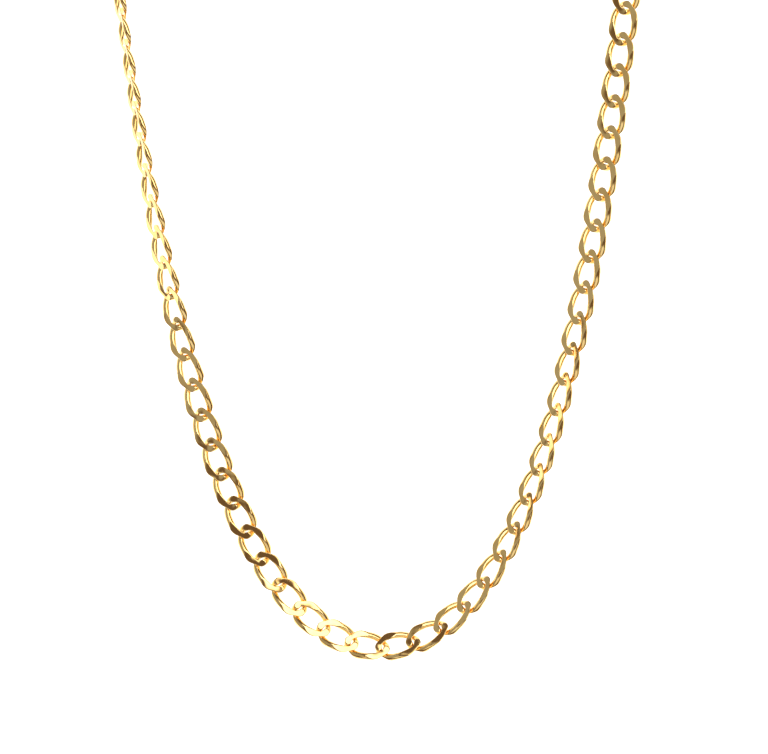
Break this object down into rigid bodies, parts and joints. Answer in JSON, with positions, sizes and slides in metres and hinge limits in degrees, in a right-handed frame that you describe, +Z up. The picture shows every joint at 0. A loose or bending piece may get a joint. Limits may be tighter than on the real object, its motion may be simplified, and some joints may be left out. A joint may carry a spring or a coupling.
{
  "type": "chain necklace",
  "caption": "Gold-coloured curb chain necklace of filed, twisted links, laid open in a long curve, with a jump ring, an end ring and a spring-gate lobster clasp.",
  "frame": {"origin": "middle of the bounding box, on the surface that the necklace lies on", "axes": "+Y along the two strands, towards the open ends with the clasp and the end ring; +Z up from the surface; the clasp is on the +X side"},
  "size_m": [0.1438, 0.2138, 0.0071],
  "materials": {
    "curb_link_01": "polished",
    "curb_link_02": "polished",
    "curb_link_03": "polished",
    "curb_link_04": "polished",
    "curb_link_05": "polished",
    "curb_link_06": "polished",
    "curb_link_07": "polished",
    "curb_link_08": "polished",
    "curb_link_09": "polished",
    "curb_link_10": "polished",
    "curb_link_11": "polished",
    "curb_link_12": "polished",
    "curb_link_13": "polished",
    "curb_link_14": "polished",
    "curb_link_15": "polished",
    "curb_link_16": "polished",
    "curb_link_17": "polished",
    "curb_link_18": "polished",
    "curb_link_19": "polished",
    "curb_link_20": "polished",
    "curb_link_21": "polished",
    "curb_link_22": "polished",
    "curb_link_23": "polished",
    "curb_link_24": "polished",
    "curb_link_25": "polished",
    "curb_link_26": "polished",
    "curb_link_27": "polished",
    "curb_link_28": "polished",
    "curb_link_29": "polished",
    "curb_link_30": "polished",
    "curb_link_31": "polished",
    "curb_link_32": "polished",
    "curb_link_33": "polished",
    "curb_link_34": "polished",
    "curb_link_35": "polished",
    "curb_link_36": "polished",
    "curb_link_37": "polished",
    "curb_link_38": "polished",
    "curb_link_39": "polished",
    "curb_link_40": "polished",
    "curb_link_41": "polished",
    "curb_link_42": "polished",
    "curb_link_43": "polished",
    "curb_link_44": "polished",
    "curb_link_45": "polished",
    "curb_link_46": "polished",
    "curb_link_47": "polished",
    "curb_link_48": "polished",
    "curb_link_49": "polished",
    "curb_link_50": "polished",
    "curb_link_51": "polished",
    "curb_link_52": "polished",
    "curb_link_53": "polished",
    "curb_link_54": "polished",
    "clasp_ring": "polished",
    "end_ring": "polished",
    "clasp_body": "polished",
    "clasp_pin": "polished",
    "clasp_lever": "polished",
    "spring_steel": "brushed"
  },
  "bodies": {
    "curb_link_01": {"curb_link_01": "curb_link_01"},
    "curb_link_02": {"curb_link_02": "curb_link_02"},
    "curb_link_03": {"curb_link_03": "curb_link_03"},
    "curb_link_04": {"curb_link_04": "curb_link_04"},
    "curb_link_05": {"curb_link_05": "curb_link_05"},
    "curb_link_06": {"curb_link_06": "curb_link_06"},
    "curb_link_07": {"curb_link_07": "curb_link_07"},
    "curb_link_08": {"curb_link_08": "curb_link_08"},
    "curb_link_09": {"curb_link_09": "curb_link_09"},
    "curb_link_10": {"curb_link_10": "curb_link_10"},
    "curb_link_11": {"curb_link_11": "curb_link_11"},
    "curb_link_12": {"curb_link_12": "curb_link_12"},
    "curb_link_13": {"curb_link_13": "curb_link_13"},
    "curb_link_14": {"curb_link_14": "curb_link_14"},
    "curb_link_15": {"curb_link_15": "curb_link_15"},
    "curb_link_16": {"curb_link_16": "curb_link_16"},
    "curb_link_17": {"curb_link_17": "curb_link_17"},
    "curb_link_18": {"curb_link_18": "curb_link_18"},
    "curb_link_19": {"curb_link_19": "curb_link_19"},
    "curb_link_20": {"curb_link_20": "curb_link_20"},
    "curb_link_21": {"curb_link_21": "curb_link_21"},
    "curb_link_22": {"curb_link_22": "curb_link_22"},
    "curb_link_23": {"curb_link_23": "curb_link_23"},
    "curb_link_24": {"curb_link_24": "curb_link_24"},
    "curb_link_25": {"curb_link_25": "curb_link_25"},
    "curb_link_26": {"curb_link_26": "curb_link_26"},
    "curb_link_27": {"curb_link_27": "curb_link_27"},
    "curb_link_28": {"curb_link_28": "curb_link_28"},
    "curb_link_29": {"curb_link_29": "curb_link_29"},
    "curb_link_30": {"curb_link_30": "curb_link_30"},
    "curb_link_31": {"curb_link_31": "curb_link_31"},
    "curb_link_32": {"curb_link_32": "curb_link_32"},
    "curb_link_33": {"curb_link_33": "curb_link_33"},
    "curb_link_34": {"curb_link_34": "curb_link_34"},
    "curb_link_35": {"curb_link_35": "curb_link_35"},
    "curb_link_36": {"curb_link_36": "curb_link_36"},
    "curb_link_37": {"curb_link_37": "curb_link_37"},
    "curb_link_38": {"curb_link_38": "curb_link_38"},
    "curb_link_39": {"curb_link_39": "curb_link_39"},
    "curb_link_40": {"curb_link_40": "curb_link_40"},
    "curb_link_41": {"curb_link_41": "curb_link_41"},
    "curb_link_42": {"curb_link_42": "curb_link_42"},
    "curb_link_43": {"curb_link_43": "curb_link_43"},
    "curb_link_44": {"curb_link_44": "curb_link_44"},
    "curb_link_45": {"curb_link_45": "curb_link_45"},
    "curb_link_46": {"curb_link_46": "curb_link_46"},
    "curb_link_47": {"curb_link_47": "curb_link_47"},
    "curb_link_48": {"curb_link_48": "curb_link_48"},
    "curb_link_49": {"curb_link_49": "curb_link_49"},
    "curb_link_50": {"curb_link_50": "curb_link_50"},
    "curb_link_51": {"curb_link_51": "curb_link_51"},
    "curb_link_52": {"curb_link_52": "curb_link_52"},
    "curb_link_53": {"curb_link_53": "curb_link_53"},
    "curb_link_54": {"curb_link_54": "curb_link_54"},
    "clasp_ring": {"clasp_ring": "clasp_ring"},
    "end_ring": {"end_ring": "end_ring"},
    "clasp_body": {"clasp_body": "clasp_body", "clasp_pin": "clasp_pin", "clasp_spring": "spring_steel"},
    "clasp_lever": {"clasp_lever": "clasp_lever"}
  },
  "joints": [
    {"name": "clasp_ring_swing", "type": "hinge", "parent": "curb_link_54", "child": "clasp_ring", "pos_m": [0.06595, 0.08892, 0.00145], "axis": [-0.4973, 0.0522, -0.866], "range_deg": [-20, 30]},
    {"name": "clasp_swing", "type": "hinge", "parent": "clasp_ring", "child": "clasp_body", "pos_m": [0.06647, 0.09294, 0.00141], "axis": [0.9941, -0.1087, 0], "range_deg": [-120, 120]},
    {"name": "clasp_lever_open", "type": "hinge", "parent": "clasp_body", "child": "clasp_lever", "pos_m": [0.06882, 0.09831, 0.00141], "axis": [0, 0, 1], "range_deg": [0, 25], "stiffness_Nm_per_rad": 0.002, "springref_deg": -20.05},
    {"name": "end_ring_swing", "type": "hinge", "parent": "curb_link_01", "child": "end_ring", "pos_m": [-0.06833, 0.0889, 0.00339], "axis": [-0.3406, -0.0317, 0.9397], "range_deg": [-5, 60]},
    {"name": "hang_28_flex", "type": "hinge", "parent": "curb_link_27", "child": "curb_link_28", "pos_m": [-0.0012, -0.10382, 0.00201], "axis": [-0.147, 0.9106, -0.3864], "range_deg": [-17.5, 30]},
    {"name": "hang_29_sideways", "type": "hinge", "parent": "curb_link_28", "child": "curb_link_29", "pos_m": [0.00658, -0.10247, 0.00221], "axis": [-0.0889, 0.3769, 0.922], "range_deg": [-46, 13.5]},
    {"name": "hang_30_flex", "type": "hinge", "parent": "curb_link_29", "child": "curb_link_30", "pos_m": [0.0136, -0.09885, 0.00239], "axis": [0.5533, -0.6574, 0.5115], "range_deg": [-29.5, 18]},
    {"name": "hang_31_sideways", "type": "hinge", "parent": "curb_link_30", "child": "curb_link_31", "pos_m": [0.01958, -0.09369, 0.00255], "axis": [0.3474, -0.376, -0.859], "range_deg": [-21.5, 38]},
    {"name": "hang_32_flex", "type": "hinge", "parent": "curb_link_31", "child": "curb_link_32", "pos_m": [0.02462, -0.0876, 0.00269], "axis": [0.6614, -0.4363, 0.6101], "range_deg": [-27.5, 20]},
    {"name": "hang_33_sideways", "type": "hinge", "parent": "curb_link_32", "child": "curb_link_33", "pos_m": [0.0289, -0.08096, 0.0028], "axis": [-0.519, 0.321, 0.7922], "range_deg": [-34, 25.5]},
    {"name": "hang_34_flex", "type": "hinge", "parent": "curb_link_33", "child": "curb_link_34", "pos_m": [0.03258, -0.07397, 0.00289], "axis": [-0.6708, 0.305, -0.6761], "range_deg": [-21.5, 26]},
    {"name": "hang_35_sideways", "type": "hinge", "parent": "curb_link_34", "child": "curb_link_35", "pos_m": [0.0358, -0.06676, 0.00295], "axis": [0.6198, -0.2701, -0.7368], "range_deg": [-27.5, 32]},
    {"name": "hang_36_flex", "type": "hinge", "parent": "curb_link_35", "child": "curb_link_36", "pos_m": [0.03864, -0.05939, 0.00299], "axis": [-0.6701, 0.2297, -0.7058], "range_deg": [-22.5, 25]},
    {"name": "hang_37_sideways", "type": "hinge", "parent": "curb_link_36", "child": "curb_link_37", "pos_m": [0.04119, -0.05191, 0.003], "axis": [-0.6684, 0.2268, 0.7084], "range_deg": [-31, 28.5]},
    {"name": "hang_38_flex", "type": "hinge", "parent": "curb_link_37", "child": "curb_link_38", "pos_m": [0.0435, -0.04436, 0.00298], "axis": [0.6982, -0.188, 0.6907], "range_deg": [-24.5, 23]},
    {"name": "hang_39_sideways", "type": "hinge", "parent": "curb_link_38", "child": "curb_link_39", "pos_m": [0.0456, -0.03674, 0.00293], "axis": [0.6646, -0.1885, -0.7231], "range_deg": [-28.5, 31]},
    {"name": "hang_40_flex", "type": "hinge", "parent": "curb_link_39", "child": "curb_link_40", "pos_m": [0.04753, -0.02908, 0.00284], "axis": [0.7619, -0.1674, 0.6256], "range_deg": [-24.5, 23]},
    {"name": "hang_41_sideways", "type": "hinge", "parent": "curb_link_40", "child": "curb_link_41", "pos_m": [0.04932, -0.02139, 0.00273], "axis": [-0.607, 0.1523, 0.78], "range_deg": [-30.5, 29]},
    {"name": "hang_42_flex", "type": "hinge", "parent": "curb_link_41", "child": "curb_link_42", "pos_m": [0.05098, -0.01366, 0.00259], "axis": [-0.8368, 0.1566, -0.5246], "range_deg": [-23.5, 24]},
    {"name": "hang_43_sideways", "type": "hinge", "parent": "curb_link_42", "child": "curb_link_43", "pos_m": [0.05252, -0.00592, 0.00243], "axis": [0.5112, -0.1195, -0.8511], "range_deg": [-29, 30.5]},
    {"name": "hang_44_flex", "type": "hinge", "parent": "curb_link_43", "child": "curb_link_44", "pos_m": [0.05398, 0.00184, 0.00226], "axis": [-0.9003, 0.1494, -0.4087], "range_deg": [-23.5, 24]},
    {"name": "hang_45_sideways", "type": "hinge", "parent": "curb_link_44", "child": "curb_link_45", "pos_m": [0.05534, 0.00962, 0.0021], "axis": [-0.3993, 0.0898, 0.9124], "range_deg": [-30, 29.5]},
    {"name": "hang_46_flex", "type": "hinge", "parent": "curb_link_45", "child": "curb_link_46", "pos_m": [0.05663, 0.01742, 0.00194], "axis": [0.9411, -0.1424, 0.3067], "range_deg": [-24, 23.5]},
    {"name": "hang_47_sideways", "type": "hinge", "parent": "curb_link_46", "child": "curb_link_47", "pos_m": [0.05786, 0.02522, 0.00182], "axis": [0.3007, -0.0626, -0.9517], "range_deg": [-29.5, 30]},
    {"name": "hang_48_flex", "type": "hinge", "parent": "curb_link_47", "child": "curb_link_48", "pos_m": [0.05902, 0.03303, 0.00173], "axis": [0.9592, -0.1337, 0.2492], "range_deg": [-24, 23.5]},
    {"name": "hang_49_sideways", "type": "hinge", "parent": "curb_link_48", "child": "curb_link_49", "pos_m": [0.06012, 0.04085, 0.00167], "axis": [-0.2457, 0.0422, 0.9684], "range_deg": [-30, 29.5]},
    {"name": "hang_50_flex", "type": "hinge", "parent": "curb_link_49", "child": "curb_link_50", "pos_m": [0.06118, 0.04868, 0.00162], "axis": [-0.9678, 0.1236, -0.2193], "range_deg": [-23.5, 24]},
    {"name": "hang_51_sideways", "type": "hinge", "parent": "curb_link_50", "child": "curb_link_51", "pos_m": [0.06219, 0.05652, 0.00158], "axis": [0.2169, -0.0329, -0.9756], "range_deg": [-29.5, 30]},
    {"name": "hang_52_flex", "type": "hinge", "parent": "curb_link_51", "child": "curb_link_52", "pos_m": [0.06316, 0.06436, 0.00154], "axis": [-0.9737, 0.1143, -0.1969], "range_deg": [-23.5, 24]},
    {"name": "hang_53_sideways", "type": "hinge", "parent": "curb_link_52", "child": "curb_link_53", "pos_m": [0.06408, 0.0722, 0.00151], "axis": [-0.195, 0.0274, 0.9804], "range_deg": [-30, 29.5]},
    {"name": "hang_54_flex", "type": "hinge", "parent": "curb_link_53", "child": "curb_link_54", "pos_m": [0.06498, 0.08005, 0.00147], "axis": [0.979, -0.1067, 0.1736], "range_deg": [-24, 23.5]},
    {"name": "hang_26_sideways", "type": "hinge", "parent": "curb_link_27", "child": "curb_link_26", "pos_m": [-0.00898, -0.10247, 0.00179], "axis": [0.0282, 0.3168, 0.9481], "range_deg": [-13, 46.5]},
    {"name": "hang_25_flex", "type": "hinge", "parent": "curb_link_26", "child": "curb_link_25", "pos_m": [-0.01599, -0.09885, 0.00156], "axis": [-0.6472, -0.7427, 0.1721], "range_deg": [-20.5, 27]},
    {"name": "hang_24_sideways", "type": "hinge", "parent": "curb_link_25", "child": "curb_link_24", "pos_m": [-0.02197, -0.09369, 0.00133], "axis": [-0.0907, -0.1492, -0.9846], "range_deg": [-39, 20.5]},
    {"name": "hang_23_flex", "type": "hinge", "parent": "curb_link_24", "child": "curb_link_23", "pos_m": [-0.02701, -0.08761, 0.0011], "axis": [0.8405, 0.5409, -0.0324], "range_deg": [-25.5, 22]},
    {"name": "hang_22_sideways", "type": "hinge", "parent": "curb_link_23", "child": "curb_link_22", "pos_m": [-0.03129, -0.08097, 0.00099], "axis": [0.0196, 0.0294, 0.9994], "range_deg": [-25, 34.5]},
    {"name": "hang_21_flex", "type": "hinge", "parent": "curb_link_22", "child": "curb_link_21", "pos_m": [-0.03497, -0.07398, 0.00111], "axis": [0.9096, 0.402, 0.1053], "range_deg": [-24.5, 23]},
    {"name": "hang_20_sideways", "type": "hinge", "parent": "curb_link_21", "child": "curb_link_20", "pos_m": [-0.03819, -0.06677, 0.00136], "axis": [0.0836, 0.0714, -0.9939], "range_deg": [-32.5, 27]},
    {"name": "hang_19_flex", "type": "hinge", "parent": "curb_link_20", "child": "curb_link_19", "pos_m": [-0.04103, -0.0594, 0.00162], "axis": [-0.9143, -0.3022, -0.2695], "range_deg": [-24, 23.5]},
    {"name": "hang_18_sideways", "type": "hinge", "parent": "curb_link_19", "child": "curb_link_18", "pos_m": [-0.04358, -0.05193, 0.00189], "axis": [-0.2448, -0.1179, 0.9624], "range_deg": [-28, 31.5]},
    {"name": "hang_17_flex", "type": "hinge", "parent": "curb_link_18", "child": "curb_link_17", "pos_m": [-0.04589, -0.04438, 0.00215], "axis": [-0.8675, -0.2248, -0.4437], "range_deg": [-24.5, 23]},
    {"name": "hang_16_sideways", "type": "hinge", "parent": "curb_link_17", "child": "curb_link_16", "pos_m": [-0.04799, -0.03677, 0.0024], "axis": [0.4203, 0.1456, -0.8956], "range_deg": [-31, 28.5]},
    {"name": "hang_15_flex", "type": "hinge", "parent": "curb_link_16", "child": "curb_link_15", "pos_m": [-0.04992, -0.02911, 0.00264], "axis": [0.7767, 0.1638, 0.6082], "range_deg": [-23, 24.5]},
    {"name": "hang_14_sideways", "type": "hinge", "parent": "curb_link_15", "child": "curb_link_14", "pos_m": [-0.0517, -0.02142, 0.00284], "axis": [-0.588, -0.1577, 0.7934], "range_deg": [-29, 30.5]},
    {"name": "hang_13_flex", "type": "hinge", "parent": "curb_link_14", "child": "curb_link_13", "pos_m": [-0.05336, -0.01369, 0.00302], "axis": [0.655, 0.1165, 0.7466], "range_deg": [-23, 24.5]},
    {"name": "hang_12_sideways", "type": "hinge", "parent": "curb_link_13", "child": "curb_link_12", "pos_m": [-0.05491, -0.00595, 0.00317], "axis": [0.7298, 0.1588, -0.665], "range_deg": [-30, 29.5]},
    {"name": "hang_11_flex", "type": "hinge", "parent": "curb_link_12", "child": "curb_link_11", "pos_m": [-0.05636, 0.00182, 0.0033], "axis": [-0.5214, -0.0803, -0.8495], "range_deg": [-24.5, 23]},
    {"name": "hang_10_sideways", "type": "hinge", "parent": "curb_link_11", "child": "curb_link_10", "pos_m": [-0.05773, 0.0096, 0.0034], "axis": [-0.8356, -0.1538, 0.5274], "range_deg": [-29.5, 30]},
    {"name": "hang_09_flex", "type": "hinge", "parent": "curb_link_10", "child": "curb_link_09", "pos_m": [-0.05902, 0.01739, 0.00348], "axis": [-0.3973, -0.0563, -0.9159], "range_deg": [-24.5, 23]},
    {"name": "hang_08_sideways", "type": "hinge", "parent": "curb_link_09", "child": "curb_link_08", "pos_m": [-0.06024, 0.02519, 0.00353], "axis": [0.9045, 0.1443, -0.4012], "range_deg": [-30, 29.5]},
    {"name": "hang_07_flex", "type": "hinge", "parent": "curb_link_08", "child": "curb_link_07", "pos_m": [-0.0614, 0.03301, 0.00356], "axis": [0.3039, 0.0408, 0.9518], "range_deg": [-23.5, 24]},
    {"name": "hang_06_sideways", "type": "hinge", "parent": "curb_link_07", "child": "curb_link_06", "pos_m": [-0.06251, 0.04083, 0.00358], "axis": [-0.9424, -0.134, 0.3066], "range_deg": [-29.5, 30]},
    {"name": "hang_05_flex", "type": "hinge", "parent": "curb_link_06", "child": "curb_link_05", "pos_m": [-0.06356, 0.04866, 0.00358], "axis": [0.2587, 0.0332, 0.9654], "range_deg": [-23.5, 24]},
    {"name": "hang_04_sideways", "type": "hinge", "parent": "curb_link_05", "child": "curb_link_04", "pos_m": [-0.06457, 0.0565, 0.00359], "axis": [0.9575, 0.1234, -0.2609], "range_deg": [-29.5, 30]},
    {"name": "hang_03_flex", "type": "hinge", "parent": "curb_link_04", "child": "curb_link_03", "pos_m": [-0.06554, 0.06434, 0.00357], "axis": [-0.328, -0.0446, -0.9436], "range_deg": [-24, 23.5]},
    {"name": "hang_02_sideways", "type": "hinge", "parent": "curb_link_03", "child": "curb_link_02", "pos_m": [-0.06647, 0.07218, 0.00352], "axis": [-0.9373, -0.1089, 0.331], "range_deg": [-30, 29.5]},
    {"name": "hang_01_flex", "type": "hinge", "parent": "curb_link_02", "child": "curb_link_01", "pos_m": [-0.06736, 0.08003, 0.00344], "axis": [-0.4965, -0.0594, -0.866], "range_deg": [-24, 23.5]}
  ]
}
